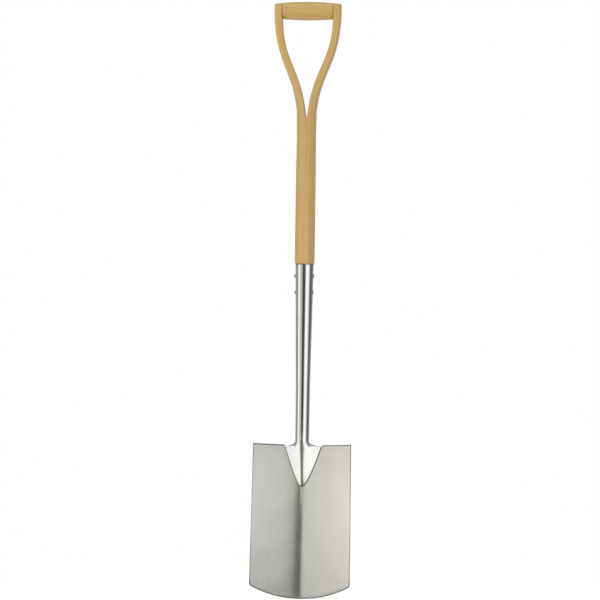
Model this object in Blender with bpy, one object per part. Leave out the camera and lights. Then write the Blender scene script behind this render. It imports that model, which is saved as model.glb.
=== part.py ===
"""Digging spade: a pressed steel blade, a tubular socket opened out into the blade's notch,
an ash shaft split into two arms, and a turned grip between them.

Metres, +Z up. The blade's digging face looks along -Y and X runs across the blade.
Until the last step the shaft's axis is the Z axis and the lowest point of the edge is at Z = 0.
"""

from math import acos, cos, pi, radians, sin, sqrt, tan

import bmesh
import bpy
from mathutils import Vector

# General
CLEARANCE = 0.0003
OVERLENGTH = 0.004

# Blade sheet
BLADE_THICKNESS = 0.0020
BLADE_WIDTH_TOP = 0.1850
BLADE_WIDTH_EDGE = 0.1900
EDGE_ARC_RADIUS = 0.194
EDGE_CORNER_RADIUS = 0.0030
EDGE_BEVEL_HEIGHT = 0.0060
EDGE_THICKNESS = 0.0010
DISH_AT_CREASE = radians(6.0)
DISH_AT_SIDE = radians(9.0)
CREASE_BLEND_LEFT = 0.0150
CREASE_BLEND_RIGHT = 0.0016
SHEET_ROUNDING = 0.0004

# Treads, bent back along the top of the blade
TREAD_HEIGHT = 0.2882
TREAD_RISE = radians(2.3)
TREAD_DEPTH = 0.0090
TREAD_BEND_RADIUS = 0.0025
TREAD_CORNER_RADIUS = 0.0013

# Notch in the top of the blade, whose sides are power curves from a blunt tip
NOTCH_LEFT = 0.0332
NOTCH_RIGHT = 0.0368
NOTCH_DEPTH = 0.0744
NOTCH_TIP_LEFT = 0.0034
NOTCH_TIP_RIGHT = 0.0026
NOTCH_FULLNESS_LEFT = 0.76
NOTCH_FULLNESS_RIGHT = 0.71

# Weld between the blade and the socket
WELD_GAP = 0.0014
WELD_RECESS = 0.0006
WELD_CAP_WIDTH = 0.0046
WELD_CAP_HEIGHT = 0.0010

# Socket, a rolled tube whose lower end is opened at the back and spread into the notch
SOCKET_THICKNESS = 0.0015
SOCKET_TOP = 0.6310
SOCKET_MOUTH_DIAMETER = 0.0346
SOCKET_NECK_DIAMETER = 0.0270
SOCKET_THROAT_DIAMETER = 0.0258
NECK_HEIGHT = 0.4000
NECK_LEAN = radians(3.0)
EDGE_LEAN = radians(8.0)
BACK_WINDOW_HEIGHT = 0.0330
FLARE_HEIGHT = 0.0102
CREASE_SETBACK = 0.0096
RIDGE_FULLNESS = 0.9
RIDGE_ROUNDING = 0.0050
THROAT_FADE = 0.0130

# Shaft, which stands a little over the socket, with a waist below the crotch
TENON_ABOVE_NECK = 0.0010
SHAFT_OVER_SOCKET = 0.0030
SHOULDER_CHAMFER = 0.0014
WAIST_NARROWING = 0.0012
WAIST_DROP = 0.0290
CROTCH_GAP = 0.0024

# Arms of the shaft, from the crotch up to the grip; the pulls are shares of their rise
ARM_RISE = 0.2035
ARM_WIDTH_LOW = 0.0156
ARM_WIDTH_HIGH = 0.0142
ARM_WIDTH_AT_EAR = 0.0152
ARM_DEPTH = 0.0300
ARM_SPREAD = 0.0558
ARM_START_SLANT = 0.06
ARM_LOWER_PULL = 0.475
ARM_UPPER_PULL = 0.51
EAR_START = 0.8
EAR_TOP_SLOPE = 0.12
ARM_OUTER_POWER = 0.69
ARM_INNER_POWER = 0.30
EAR_INNER_POWER = 0.14

# Grip
GRIP_HEIGHT = 1.1090
GRIP_MIDDLE_DIAMETER = 0.0350
GRIP_END_DIAMETER = 0.0308
GRIP_TENON_DIAMETER = 0.0160
GRIP_TENON_LENGTH = 0.0100
GRIP_END_ROUNDING = 0.0012

# Rivets
RIVET_DROP = 0.0235
RIVET_PITCH = 0.0310
RIVET_SHANK_DIAMETER = 0.0050
RIVET_HEAD_DIAMETER = 0.0086
RIVET_HEAD_HEIGHT = 0.0018
RIVET_TAIL_DIAMETER = 0.0068
RIVET_TAIL_HEIGHT = 0.0034
RIVET_TURN_UPPER = radians(12.0)
RIVET_TURN_LOWER = radians(16.0)

# Sizes that follow from the ones above
NOTCH_TOP = TREAD_HEIGHT - TREAD_BEND_RADIUS - TREAD_CORNER_RADIUS
NOTCH_TIP = NOTCH_TOP - NOTCH_DEPTH
TENON_END = NECK_HEIGHT + TENON_ABOVE_NECK
SHAFT_DIAMETER = SOCKET_MOUTH_DIAMETER + SHAFT_OVER_SOCKET
WAIST_DIAMETER = SHAFT_DIAMETER - WAIST_NARROWING
CROTCH_HEIGHT = GRIP_HEIGHT - ARM_RISE
WAIST_HEIGHT = CROTCH_HEIGHT - WAIST_DROP
EAR_RADIUS = GRIP_END_DIAMETER / 2
EAR_INNER_FACE = ARM_SPREAD - ARM_WIDTH_AT_EAR / 2

# How finely the shapes are divided
AROUND = 28
HALF_AROUND = AROUND // 2
NOTCH_STEPS = 9
ARM_INNER_STEPS = 6
SOCKET_FRONT_STEPS = 9
SOCKET_BACK_STEPS = 7


def lerp(a, b, t):
    return a + (b - a) * t


def smooth(t):
    t = min(max(t, 0.0), 1.0)
    return t * t * (3 - 2 * t)


def steps(start, end, count):
    """count + 1 values evenly from start to end."""
    return [lerp(start, end, i / count) for i in range(count + 1)]


# Scene and object helpers


def clear_scene():
    for obj in list(bpy.data.objects):
        bpy.data.objects.remove(obj, do_unlink=True)


def make_material(name, colour, roughness, metallic):
    material = bpy.data.materials.new(name)
    material.use_nodes = True
    shader = material.node_tree.nodes["Principled BSDF"]
    shader.inputs["Base Color"].default_value = (*colour, 1.0)
    shader.inputs["Roughness"].default_value = roughness
    shader.inputs["Metallic"].default_value = metallic
    return material


def add_object(name, bm, material, smooth_angle=radians(35)):
    mesh = bpy.data.meshes.new(name)
    bm.to_mesh(mesh)
    bm.free()
    mesh.materials.append(material)
    mesh.shade_smooth()
    mesh.set_sharp_from_angle(angle=smooth_angle)
    obj = bpy.data.objects.new(name, mesh)
    bpy.context.collection.objects.link(obj)
    return obj


def thicken(obj, thickness, group="", thin_share=0.0):
    """Gives a sheet its thickness, measured from the modelled face towards the back."""
    solidify = obj.modifiers.new("Thickness", "SOLIDIFY")
    solidify.thickness = thickness
    solidify.offset = -1
    solidify.use_even_offset = True
    if group:
        solidify.vertex_group = group
        solidify.thickness_vertex_group = thin_share


def cut(obj, cutter):
    boolean = obj.modifiers.new(f"Cut {cutter.name}", "BOOLEAN")
    boolean.operation = "DIFFERENCE"
    boolean.solver = "EXACT"
    boolean.object = cutter


def join_rings(bm, lower, upper, closed=True):
    """Quads between two rows of vertices, facing out where the rows run anticlockwise from above.

    Two corners that are one vertex leave a triangle.
    """
    count = len(lower)
    for i in range(count if closed else count - 1):
        j = (i + 1) % count
        corners = [lower[i], lower[j], upper[j], upper[i]]
        distinct = list(dict.fromkeys(corners))
        if len(distinct) > 2:
            bm.faces.new(distinct)


def turned(points, segments, centre):
    """A solid turned about the X axis through centre, from points (along, radius), closed at its ends."""
    bm = bmesh.new()
    previous = None
    for along, radius in points:
        if radius < 1e-7:
            tip = bm.verts.new((centre[0] + along, centre[1], centre[2]))
            ring = [tip] * segments
        else:
            ring = []
            for i in range(segments):
                angle = 2 * pi * i / segments
                place = (along, radius * cos(angle), radius * sin(angle))
                ring.append(bm.verts.new(Vector(centre) + Vector(place)))
        if previous:
            join_rings(bm, ring, previous)
        previous = ring
    bmesh.ops.recalc_face_normals(bm, faces=bm.faces)
    return bm


# Shape of the blade's front face and of the line that the socket follows


def lean(z):
    """How far the blade and the neck stand forward of the shaft's axis at height z."""
    neck_length = NECK_HEIGHT - TREAD_HEIGHT
    bent = min(max(NECK_HEIGHT - z, 0.0), neck_length)
    below = max(TREAD_HEIGHT - z, 0.0)
    slope = tan(NECK_LEAN)
    more = tan(EDGE_LEAN) - slope
    return slope * bent**2 / (2 * neck_length) + slope * below + more * below**2 / (2 * TREAD_HEIGHT)


def back_direction(z):
    """Unit vector straight out of the blade's back at height z, with no sideways part."""
    step = 0.001
    slope = (lean(z - step) - lean(z + step)) / (2 * step)
    return Vector((0.0, 1.0, -slope)).normalized()


def dish(x):
    """How far the face stands forward of the crease at x."""
    blend = CREASE_BLEND_LEFT if x < 0 else CREASE_BLEND_RIGHT
    from_crease = sqrt(x * x + blend * blend) - blend
    more = tan(DISH_AT_SIDE) - tan(DISH_AT_CREASE)
    return tan(DISH_AT_CREASE) * from_crease + more * x * x / BLADE_WIDTH_EDGE


def blade_front(x, z):
    """Depth of the blade's front face at (x, z), behind the socket's axis at the crease."""
    return CREASE_SETBACK - lean(z) - dish(x)


def half_width(z):
    return lerp(BLADE_WIDTH_EDGE, BLADE_WIDTH_TOP, z / TREAD_HEIGHT) / 2


def edge_height(x):
    """Height of the cutting edge at x, with its rounded outer corner."""
    arc = EDGE_ARC_RADIUS - sqrt(EDGE_ARC_RADIUS**2 - x * x)
    over = abs(x) - (half_width(arc) - EDGE_CORNER_RADIUS)
    if over <= 0:
        return arc
    over = min(over, EDGE_CORNER_RADIUS)
    return arc + EDGE_CORNER_RADIUS - sqrt(EDGE_CORNER_RADIUS**2 - over**2)


def tread_height(x):
    """Height of the tread's top face at x, with the rounded corner beside the notch."""
    along = max(abs(x) - (NOTCH_LEFT if x < 0 else NOTCH_RIGHT), 0.0)
    missing = max(TREAD_CORNER_RADIUS - along, 0.0)
    corner = TREAD_CORNER_RADIUS - sqrt(TREAD_CORNER_RADIUS**2 - missing**2)
    return TREAD_HEIGHT + along * tan(TREAD_RISE) - corner


def notch_side(tip, corner, fullness, top):
    """One side of the notch from its tip up to the height top, as (distance from the axis, z)."""
    reach = ((top - NOTCH_TIP) / NOTCH_DEPTH) ** fullness
    points = []
    for share in steps(0.0, reach, NOTCH_STEPS):
        along = lerp(tip, corner, share)
        points.append(Vector((along, NOTCH_TIP + NOTCH_DEPTH * share ** (1 / fullness))))
    return points


def notch_path(top=NOTCH_TOP):
    """The notch's edge from its left corner round the tip to its right corner, as (x, z)."""
    left = notch_side(NOTCH_TIP_LEFT, NOTCH_LEFT, NOTCH_FULLNESS_LEFT, top)
    right = notch_side(NOTCH_TIP_RIGHT, NOTCH_RIGHT, NOTCH_FULLNESS_RIGHT, top)
    return [Vector((-p.x, p.y)) for p in reversed(left)] + [Vector((0.0, NOTCH_TIP))] + right


def inset_path(path, distance):
    """The path moved towards the inside of the notch, with its corners kept mitred."""
    moved = []
    for i, point in enumerate(path):
        before = (point - path[i - 1]).normalized() if i > 0 else None
        after = (path[i + 1] - point).normalized() if i < len(path) - 1 else None
        before = before or after
        after = after or before
        normal = Vector((-before.y - after.y, before.x + after.x)).normalized()
        share = max(normal.dot(Vector((-after.y, after.x))), 0.3)
        moved.append(point + normal * distance / share)
    return moved


def width_at(path, z, side):
    """How far the path lies from the axis at height z, on the left (side -1) or the right (side 1)."""
    half = path[: NOTCH_STEPS + 1] if side < 0 else path[: NOTCH_STEPS + 1 : -1]
    for a, b in zip(half, half[1:]):
        if b.y <= z or b is half[-1]:
            t = (a.y - z) / max(a.y - b.y, 1e-9)
            return abs(lerp(a.x, b.x, min(t, 1.0)))
    return abs(half[-1].x)


# Pieces


def make_blade(material):
    """The pressed sheet: a shallow dish with a crease, a notch for the socket and two bent treads."""
    outer_end = half_width(TREAD_HEIGHT)
    rounding = EDGE_CORNER_RADIUS * outer_end / half_width(0.0)

    def outside(corner):
        """Distances of the columns beside the notch, from its corner to the blade's side."""
        xs = [corner + TREAD_CORNER_RADIUS * share for share in (0.13, 0.38, 0.68, 1.0)]
        xs += steps(xs[-1], outer_end - rounding, 6)[1:]
        return xs + [outer_end - rounding * share for share in (0.6, 0.25, 0.07, 0.0)]

    # Each column runs up the blade: its x at the top, the height of its top and whether it has a tread
    left = [-x for x in reversed(outside(NOTCH_LEFT))]
    columns = [(x, tread_height(x) - TREAD_BEND_RADIUS, True) for x in left]
    notch = notch_path()
    last = len(notch) - 1
    columns += [(p.x, p.y, i in (0, last)) for i, p in enumerate(notch)]
    columns += [(x, tread_height(x) - TREAD_BEND_RADIUS, True) for x in outside(NOTCH_RIGHT)]

    bm = bmesh.new()
    edge_verts = []
    previous = None
    for top_x, top_z, has_tread in columns:
        share = top_x / half_width(top_z)
        low = edge_height(share * half_width(0.03))
        heights = [low] + steps(low + EDGE_BEVEL_HEIGHT, top_z, 9)
        column = []
        for z in heights:
            x = share * half_width(z)
            column.append(bm.verts.new((x, blade_front(x, z), z)))
        edge_verts.append(column[0])
        tread = []
        if has_tread:
            start = column[-1].co
            for angle in (radians(30), radians(60), radians(90)):
                back = TREAD_BEND_RADIUS * (1 - cos(angle))
                up = TREAD_BEND_RADIUS * sin(angle)
                tread.append(bm.verts.new(start + Vector((0, back, up))))
            end = Vector((start.x, start.y + TREAD_DEPTH, start.z + TREAD_BEND_RADIUS))
            tread.append(bm.verts.new(end))
        if previous:
            rows = list(zip(previous[0], column))
            if tread and previous[1]:
                rows += list(zip(previous[1], tread))
            for (a, b), (d, c) in zip(rows, rows[1:]):
                bm.faces.new((a, b, c, d))
        previous = (column, tread)

    blade = add_object_with_edge_group(bm, material, edge_verts)
    thicken(blade, BLADE_THICKNESS, "Full thickness", EDGE_THICKNESS / BLADE_THICKNESS)
    bevel = blade.modifiers.new("Edge rounding", "BEVEL")
    bevel.width = SHEET_ROUNDING
    bevel.segments = 1
    bevel.limit_method = "ANGLE"
    bevel.angle_limit = radians(50)
    return blade


def add_object_with_edge_group(bm, material, edge_verts):
    """The blade's object, with a vertex group that is empty along the cutting edge."""
    bm.verts.index_update()
    thin = {v.index for v in edge_verts}
    count = len(bm.verts)
    blade = add_object("blade", bm, material)
    group = blade.vertex_groups.new(name="Full thickness")
    group.add([i for i in range(count) if i not in thin], 1.0, "REPLACE")
    return blade


def socket_radius(z):
    """Outer radius of the socket's tube at height z."""
    if z > NECK_HEIGHT:
        t = (z - NECK_HEIGHT) / (SOCKET_TOP - NECK_HEIGHT)
        return lerp(SOCKET_NECK_DIAMETER, SOCKET_MOUTH_DIAMETER, t) / 2
    t = min((NECK_HEIGHT - z) / (NECK_HEIGHT - TREAD_HEIGHT), 1.0)
    return lerp(SOCKET_NECK_DIAMETER, SOCKET_THROAT_DIAMETER, t) / 2


def plate_front(x, z, path, flare_top):
    """Depth of the socket's opened end, whose ridge runs from the front of the tube to the crease."""
    side = -1 if x < 0 else 1
    plate_top = path[0].y
    plate_tip = path[NOTCH_STEPS + 1].y
    edge = width_at(path, min(z, plate_top), side)
    radius = socket_radius(z)
    climb = max((z - plate_tip) / (flare_top - plate_tip), 0.0) ** RIDGE_FULLNESS
    ridge = lerp(blade_front(0.0, z), -lean(z) - radius, climb)
    rounding = min(RIDGE_ROUNDING, edge * 0.8)
    run = (sqrt(x * x + rounding**2) - rounding) / (sqrt(edge**2 + rounding**2) - rounding)
    roof = lerp(ridge, blade_front(side * edge, z), run)
    tube = -lean(z) - sqrt(max(radius**2 - x * x, 0.0))
    beside = smooth((abs(x) - radius) / (width_at(path, plate_top, side) - radius))
    return lerp(roof, tube, smooth(1 - (flare_top - z) / THROAT_FADE) * (1 - beside))


def make_socket(material):
    """The socket: a tapered tube, open at the back above the blade, spread into the notch below."""
    path = inset_path(notch_path(NOTCH_TOP + TREAD_CORNER_RADIUS), WELD_GAP)
    plate_top = path[0].y
    plate_tip = path[NOTCH_STEPS + 1].y
    flare_top = plate_top + FLARE_HEIGHT
    window_top = flare_top + BACK_WINDOW_HEIGHT
    front = steps(0.0, pi / 2, SOCKET_FRONT_STEPS)

    def tube_row(z, lip):
        """Half a row of the tube, from the front to the lip, which is at pi where the tube is closed."""
        radius = socket_radius(z)
        angles = front + steps(pi / 2, lip, SOCKET_BACK_STEPS)[1:]
        return [(radius * sin(a), -lean(z) - radius * cos(a), z) for a in angles]

    def plate_row(z, side):
        """Half a row of the opened end, from the ridge to its edge on one side."""
        widest = width_at(path, plate_top, side)
        edge = width_at(path, min(z, plate_top), side)
        inner = socket_radius(z) * edge / widest
        if z > plate_top:
            edge = lerp(inner, edge, max((flare_top - z) / FLARE_HEIGHT, 0.25) ** 3)
        xs = [inner * sin(a) for a in front] + steps(inner, edge, SOCKET_BACK_STEPS)[1:]
        return [(x, plate_front(side * x, z, path, flare_top), z) for x in xs]

    rows = [(tube_row(z, pi), tube_row(z, pi)) for z in steps(SOCKET_TOP, NECK_HEIGHT, 3)]
    rows += [(tube_row(z, pi), tube_row(z, pi)) for z in steps(NECK_HEIGHT, window_top, 4)[1:]]
    for share in (0.04, 0.16, 0.36, 0.6, 0.82, 1.0):
        lip = pi - sqrt(1 - (1 - share) ** 2) * radians(86)
        row = tube_row(window_top - share * BACK_WINDOW_HEIGHT, lip)
        rows.append((row, row))
    levels = [flare_top - FLARE_HEIGHT * share for share in (0.25, 0.45, 0.62, 0.75, 0.86, 0.94, 1.0)]
    levels += steps(plate_top, plate_tip, 11)[1:]
    rows += [(plate_row(z, -1), plate_row(z, 1)) for z in levels]

    bm = bmesh.new()
    previous = None
    for left, right in rows:
        points = [(-x, y, z) for x, y, z in reversed(left)] + right[1:]
        row = [bm.verts.new(p) for p in points]
        if previous:
            join_rings(bm, row, previous, closed=False)
        previous = row
    bmesh.ops.remove_doubles(bm, verts=bm.verts, dist=1e-6)
    socket = add_object("socket", bm, material)
    thicken(socket, SOCKET_THICKNESS)
    return socket


def make_weld(name, side, material):
    """One run of weld down a side of the notch: a root in the joint and a cap behind the blade."""
    middle = inset_path(notch_path(), WELD_GAP / 2)
    split = NOTCH_STEPS + 1
    root = WELD_GAP / 2 - CLEARANCE
    behind = BLADE_THICKNESS + 2 * CLEARANCE
    cap = WELD_CAP_WIDTH / 2
    section = [
        (-root, WELD_RECESS),
        (root, WELD_RECESS),
        (root, behind),
        (cap, behind),
        (cap * 0.6, behind + WELD_CAP_HEIGHT),
        (-cap * 0.6, behind + WELD_CAP_HEIGHT),
        (-cap, behind),
        (-root, behind),
    ]
    span = slice(0, split + 1) if side < 0 else slice(split, len(middle))
    bm = bmesh.new()
    lines = []
    for offset, depth in section:
        line = inset_path(middle, offset)[span]
        verts = []
        for edge, p in zip(middle[span], line):
            x = p.x if edge.x else side * CLEARANCE / 2
            start = Vector((x, blade_front(edge.x, p.y), p.y))
            verts.append(bm.verts.new(start + back_direction(edge.y) * depth))
        lines.append(verts)
    for a, b in zip(lines, lines[1:] + lines[:1]):
        join_rings(bm, a, b, closed=False)
    bm.faces.new([line[0] for line in lines])
    bm.faces.new([line[-1] for line in lines])
    bmesh.ops.recalc_face_normals(bm, faces=bm.faces)
    return add_object(name, bm, material)


def arm_centre(t):
    """Centre line of an arm, as (x, z): a curve that leaves the shaft and enters the ear upright."""
    start = Vector((SHAFT_DIAMETER / 4 + CROTCH_GAP / 4, CROTCH_HEIGHT))
    end = Vector((ARM_SPREAD, GRIP_HEIGHT))
    lower = start + Vector((ARM_START_SLANT, 1.0)) * ARM_LOWER_PULL * ARM_RISE
    upper = end - Vector((0, ARM_UPPER_PULL * ARM_RISE))
    s = 1 - t
    return s**3 * start + 3 * s * s * t * lower + 3 * s * t * t * upper + t**3 * end


def arm_size(t):
    """Width across X and depth along Y of an arm."""
    ahead = arm_centre(t + 0.01) - arm_centre(t - 0.01)
    slant = ahead.length / ahead.y
    width = lerp(ARM_WIDTH_LOW, ARM_WIDTH_HIGH, smooth(t / 0.85)) * slant
    depth = lerp(SHAFT_DIAMETER, ARM_DEPTH, smooth(t / 0.5))
    if t < 0.05:
        width = lerp(SHAFT_DIAMETER / 2 - CROTCH_GAP / 2, width, smooth(t / 0.05))
    if t > EAR_START:
        near_ear = smooth((t - EAR_START) / (1 - EAR_START))
        width = lerp(width, ARM_WIDTH_AT_EAR, near_ear)
        depth = lerp(depth, 2 * EAR_RADIUS, near_ear)
    return width, depth


def arm_box(inner_power):
    """Places round a rounded rectangle in units of its half width and half depth, inner side last.

    Its inner corners are the sharper the smaller inner_power is.
    """
    angles = steps(-pi * 0.75, pi * 0.75, HALF_AROUND)
    angles += steps(pi * 0.75, pi * 1.25, ARM_INNER_STEPS)[1:-1]
    places = []
    for angle in angles:
        power = ARM_OUTER_POWER if cos(angle) > 0 else inner_power
        across = abs(cos(angle)) ** power * (1 if cos(angle) > 0 else -1)
        deep = abs(sin(angle)) ** power * (1 if sin(angle) > 0 else -1)
        places.append(Vector((across, deep)))
    return places


def arm_disc(inner, outer, depth):
    """Points round the part of the shaft's round section that lies beyond the slit, inner side last."""
    stem = SHAFT_DIAMETER / 2
    end = acos((inner - outer) / stem + 1)
    centre = outer - stem
    turns = steps(-end, end, HALF_AROUND)
    points = [Vector((centre + stem * cos(a), depth / 2 * sin(a))) for a in turns]
    corner = points[-1].y
    return points + [Vector((inner, y)) for y in steps(corner, -corner, ARM_INNER_STEPS)[1:-1]]


def arm_rows():
    """Rows of one arm from just above the crotch to the top of its ear, as lists of (x, y, z)."""
    rows = []
    low = [0.0015, 0.005, 0.011, 0.022, 0.04, 0.065, 0.1, 0.14]
    for t in low + [0.19, 0.25, 0.31, 0.38, 0.45, 0.52, 0.59, 0.66, 0.73, 0.8, 0.87, 0.94]:
        centre = arm_centre(t)
        width, depth = arm_size(t)
        above = centre.y - CROTCH_HEIGHT
        gap = sqrt(max(CROTCH_GAP * above - above * above, 0.0)) if above < CROTCH_GAP / 2 else 1.0
        outer = max(centre.x + width / 2, SHAFT_DIAMETER / 2)
        inner = min(centre.x - width / 2, gap)
        middle = (outer + inner) / 2
        half = (outer - inner) / 2
        roundness = smooth(t / 0.4)
        inner_power = lerp(ARM_INNER_POWER, EAR_INNER_POWER, smooth(t * 4 - 3))
        row = []
        for disc, box in zip(arm_disc(inner, outer, depth), arm_box(inner_power)):
            place = disc.lerp(Vector((middle + box.x * half, box.y * depth / 2)), roundness)
            row.append((place.x, place.y, centre.y))
        rows.append(row)
    for angle in (0.0, radians(20), radians(40), radians(58), radians(74), radians(85)):
        row = []
        for u, v in arm_box(EAR_INNER_POWER):
            x = ARM_SPREAD + u * ARM_WIDTH_AT_EAR / 2
            radius = EAR_RADIUS - (x - EAR_INNER_FACE) * EAR_TOP_SLOPE
            row.append((x, v * radius * cos(angle), GRIP_HEIGHT + radius * sin(angle)))
        rows.append(row)
    return rows


def shaft_radius(z):
    waist = smooth(1 - abs(z - WAIST_HEIGHT) / (CROTCH_HEIGHT - WAIST_HEIGHT) / 3)
    if z > WAIST_HEIGHT:
        waist = smooth(1 - (z - WAIST_HEIGHT) / (CROTCH_HEIGHT - WAIST_HEIGHT))
    return lerp(SHAFT_DIAMETER, WAIST_DIAMETER, waist) / 2


def make_shaft(material):
    """The ash shaft: a tapered tenon in the socket, a round stem, and two arms split from its top."""
    shoulder = SOCKET_TOP + CLEARANCE
    gap = SOCKET_THICKNESS + CLEARANCE
    stem = SHAFT_DIAMETER / 2
    rings = [(TENON_END, socket_radius(TENON_END) - gap - SHOULDER_CHAMFER)]
    rings += [(z, socket_radius(z) - gap) for z in (TENON_END + OVERLENGTH, SOCKET_TOP)]
    rings += [(shoulder, socket_radius(SOCKET_TOP) - gap)]
    rings += [(shoulder, stem - SHOULDER_CHAMFER)]
    rings += [(shoulder + SHOULDER_CHAMFER * 1.6, stem - SHOULDER_CHAMFER * 0.35)]
    rings += [(shoulder + SHOULDER_CHAMFER * 4, stem)]
    waist_start = WAIST_HEIGHT - 3 * (CROTCH_HEIGHT - WAIST_HEIGHT)
    rings += [(z, shaft_radius(z)) for z in steps(waist_start, WAIST_HEIGHT, 4)]
    rings += [(z, shaft_radius(z)) for z in steps(WAIST_HEIGHT, CROTCH_HEIGHT, 4)[1:-1]]

    bm = bmesh.new()
    previous = None
    for z, radius in rings:
        ring = []
        for i in range(AROUND):
            angle = 2 * pi * i / AROUND - pi / 2
            ring.append(bm.verts.new((radius * cos(angle), radius * sin(angle), z)))
        if previous:
            join_rings(bm, previous, ring)
        else:
            bm.faces.new(ring[::-1])
        previous = ring

    # At the crotch the ring gains a line of vertices from front to back, which both arms share
    stem = SHAFT_DIAMETER / 2
    crotch = []
    for i in range(AROUND):
        angle = 2 * pi * i / AROUND - pi / 2
        crotch.append(bm.verts.new((stem * cos(angle), stem * sin(angle), CROTCH_HEIGHT)))
    join_rings(bm, previous, crotch)
    depths = steps(stem, -stem, ARM_INNER_STEPS)[1:-1]
    saddle = [bm.verts.new((0.0, y, CROTCH_HEIGHT)) for y in depths]
    right = crotch[: HALF_AROUND + 1] + saddle
    left = [crotch[-i % AROUND] for i in range(HALF_AROUND + 1)] + saddle
    for side, lower in ((1, right), (-1, left)):
        for row in arm_rows():
            upper = [bm.verts.new((side * x, y, z)) for x, y, z in row]
            join_rings(bm, lower, upper)
            lower = upper
        bm.faces.new(lower)
    bmesh.ops.recalc_face_normals(bm, faces=bm.faces)
    return add_object("shaft", bm, material)


def make_grip(material):
    """The turned grip: a barrel that is fullest in the middle, with a tenon at each end."""
    middle = GRIP_MIDDLE_DIAMETER / 2
    end = GRIP_END_DIAMETER / 2
    tenon = GRIP_TENON_DIAMETER / 2
    half = EAR_INNER_FACE - CLEARANCE
    tip = half + GRIP_TENON_LENGTH - CLEARANCE
    profile = [(tip, 0.0), (tip, tenon - GRIP_END_ROUNDING), (tip - GRIP_END_ROUNDING, tenon)]
    profile += [(half, tenon), (half, end - GRIP_END_ROUNDING)]
    for x in steps(half - GRIP_END_ROUNDING, 0.0, 6):
        profile.append((x, middle - (middle - end) * (x / half) ** 2))
    mirrored = [(-x, r) for x, r in reversed(profile[:-1])]
    bm = turned(profile + mirrored, AROUND, (0.0, 0.0, GRIP_HEIGHT))
    return add_object("grip", bm, material)


def make_rivet(name, z, turn, material):
    """A rivet through the socket and the tenon: a low head on the right, a fuller tail on the left."""
    seat = socket_radius(z) + CLEARANCE
    shank = RIVET_SHANK_DIAMETER / 2
    profile = []
    for angle in steps(pi / 2, 0.0, 4):
        reach = RIVET_HEAD_HEIGHT * sin(angle)
        profile.append((seat + reach, RIVET_HEAD_DIAMETER / 2 * cos(angle)))
    profile += [(seat, shank), (-seat, shank)]
    for angle in steps(0.0, pi / 2, 4):
        reach = RIVET_TAIL_HEIGHT * sin(angle)
        profile.append((-seat - reach, RIVET_TAIL_DIAMETER / 2 * cos(angle)))
    bm = turned(profile, 20, (0.0, 0.0, 0.0))

    # The heads are closed down onto the round tube
    for vert in bm.verts:
        sag = seat - sqrt(seat * seat - vert.co.y**2)
        vert.co.x -= sag if vert.co.x > 0 else -sag
    rivet = add_object(name, bm, material)
    rivet.location = (0.0, 0.0, z)
    rivet.rotation_euler = (0.0, 0.0, -turn)
    return rivet


def make_cutter(name, length, diameter, centre, turn=0.0):
    """A round cutter along X, which is left out of the part."""
    half = length / 2
    radius = diameter / 2
    profile = [(half, 0.0), (half, radius), (-half, radius), (-half, 0.0)]
    bm = turned(profile, 24, (0.0, 0.0, 0.0))
    cutter = bpy.data.objects.new(name, bpy.data.meshes.new(name))
    bm.to_mesh(cutter.data)
    bm.free()
    bpy.context.collection.objects.link(cutter)
    cutter.location = centre
    cutter.rotation_euler = (0.0, 0.0, -turn)
    cutter.hide_render = True
    cutter.display_type = "WIRE"
    return cutter


def build():
    clear_scene()
    brushed = make_material("Brushed steel", (0.56, 0.56, 0.54), 0.38, 1.0)
    polished = make_material("Polished steel", (0.72, 0.72, 0.70), 0.12, 1.0)
    seam = make_material("Weld", (0.42, 0.41, 0.39), 0.45, 1.0)
    rivet_steel = make_material("Rivet steel", (0.48, 0.48, 0.46), 0.30, 1.0)
    ash = make_material("Ash", (0.52, 0.34, 0.13), 0.42, 0.0)

    blade = make_blade(brushed)
    socket = make_socket(polished)
    weld_left = make_weld("weld_left", -1, seam)
    weld_right = make_weld("weld_right", 1, seam)
    shaft = make_shaft(ash)
    grip = make_grip(ash)
    pieces = [blade, socket, weld_left, weld_right, shaft, grip]

    guides = []
    hole = RIVET_SHANK_DIAMETER + 2 * CLEARANCE
    upper = SOCKET_TOP - RIVET_DROP
    rivets = [("rivet_upper", upper, RIVET_TURN_UPPER)]
    rivets += [("rivet_lower", upper - RIVET_PITCH, RIVET_TURN_LOWER)]
    for name, z, turn in rivets:
        pieces.append(make_rivet(name, z, turn, rivet_steel))
        length = SOCKET_MOUTH_DIAMETER + 2 * OVERLENGTH
        cutter = make_cutter(f"{name}_hole", length, hole, (0.0, 0.0, z), turn)
        cut(socket, cutter)
        cut(shaft, cutter)
        guides.append(cutter)
    for name, side in (("grip_hole_left", -1), ("grip_hole_right", 1)):
        diameter = GRIP_TENON_DIAMETER + 2 * CLEARANCE
        length = GRIP_TENON_LENGTH + OVERLENGTH
        middle = side * (EAR_INNER_FACE - OVERLENGTH + length / 2)
        cutter = make_cutter(name, length, diameter, (middle, 0.0, GRIP_HEIGHT))
        cut(shaft, cutter)
        guides.append(cutter)

    # The origin goes to the middle of the part's box, at its lowest point
    front = min(blade_front(x, edge_height(x)) for x in steps(0.0, half_width(0.0), 60))
    back = max(SHAFT_DIAMETER / 2, blade_front(NOTCH_LEFT, NOTCH_TOP) + TREAD_DEPTH)
    frame = bpy.data.objects.new("spade", None)
    bpy.context.collection.objects.link(frame)
    frame.location = (0.0, -(front + back) / 2, EDGE_THICKNESS * sin(EDGE_LEAN))
    for obj in pieces + guides:
        obj.parent = frame


build()
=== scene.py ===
from math import acos, atan2, cos, pi, radians, sin, sqrt, tan

import bmesh
import bpy
from mathutils import Matrix, Vector, kdtree, noise


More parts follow.
